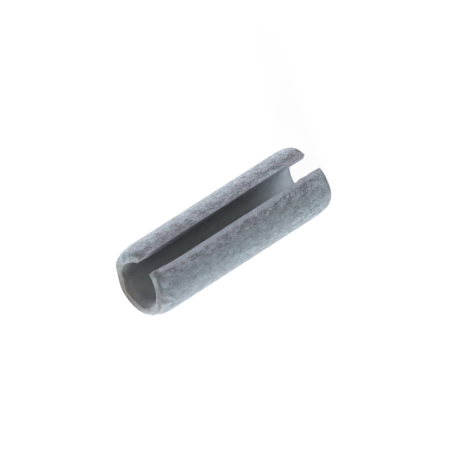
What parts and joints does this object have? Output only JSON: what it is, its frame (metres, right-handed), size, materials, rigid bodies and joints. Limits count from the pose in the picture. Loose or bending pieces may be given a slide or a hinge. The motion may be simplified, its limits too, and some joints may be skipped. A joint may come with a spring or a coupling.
{
  "type": "slotted spring pin",
  "caption": "Slotted spring pin rolled from thick steel strip, open along one side, with swaged, rounded ends; it is driven into a drilled hole and grips by its own spring.",
  "frame": {"origin": "on the pin's axis at its lower end face", "axes": "+Z along the pin from the lower end to the upper end, -Y out through the middle of the slot, +X across the slot"},
  "size_m": [0.0064, 0.0062, 0.02],
  "materials": {
    "plated_steel": "dull blue-grey zinc plating over spring steel, finely mottled, a little brighter on worn edges"
  },
  "bodies": {
    "root": {"pin_body": "plated_steel"}
  },
  "joints": []
}
